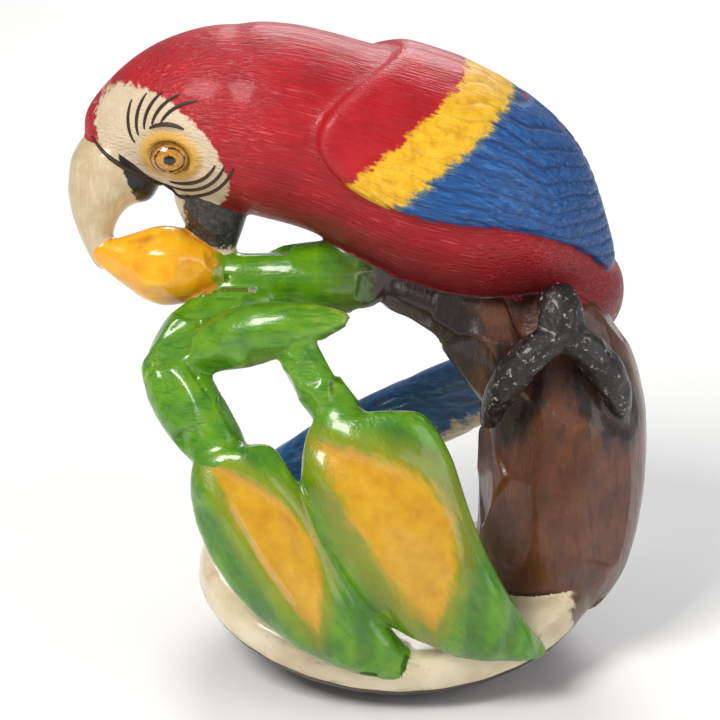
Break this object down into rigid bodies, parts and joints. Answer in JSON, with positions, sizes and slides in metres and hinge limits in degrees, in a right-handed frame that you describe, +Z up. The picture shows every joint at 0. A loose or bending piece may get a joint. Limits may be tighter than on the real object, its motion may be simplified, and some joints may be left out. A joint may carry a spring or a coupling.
{
  "type": "carved nut macaw",
  "caption": "Painted macaw carved from one palm nut, bent over a branch and biting a fruit, with hanging leaves, curled tail and dark-skinned base.",
  "frame": {"origin": "middle of the carving's box, on the surface it stands on", "axes": "+Z up; the bird faces -X and its left side faces -Y"},
  "size_m": [0.0486, 0.0366, 0.0552],
  "materials": {
    "nut_skin": "natural dark nut skin, sanded flat at the foot",
    "ivory": "bare vegetable ivory, waxed",
    "red_paint": "crimson paint on carved nut, satin",
    "wing_paint": "red, yellow and blue paint on carved nut, satin",
    "tail_paint": "blue paint fading to bare nut, satin",
    "yellow_paint": "yellow paint on carved nut, glossy",
    "green_paint": "green and yellow paint on carved nut, glossy",
    "brown_paint": "brown stain with black shading, semi-gloss",
    "black_paint": "black paint, worn, satin",
    "eye_paint": "amber paint with a black pupil, glossy"
  },
  "bodies": {
    "root": {"nut_skin": "nut_skin", "nut_base": "ivory", "branch": "brown_paint", "bird_body": "red_paint", "bird_head": "red_paint", "upper_beak": "ivory", "lower_beak": "black_paint", "left_eye": "eye_paint", "right_eye": "eye_paint", "left_wing": "wing_paint", "right_wing": "wing_paint", "tail_coverts": "red_paint", "tail": "tail_paint", "left_foot": "black_paint", "right_foot": "black_paint", "fruit": "yellow_paint", "fruit_stem": "green_paint", "leaf_stalk": "green_paint", "left_petiole": "green_paint", "left_leaf": "green_paint", "right_petiole": "green_paint", "right_leaf": "green_paint"}
  },
  "joints": []
}
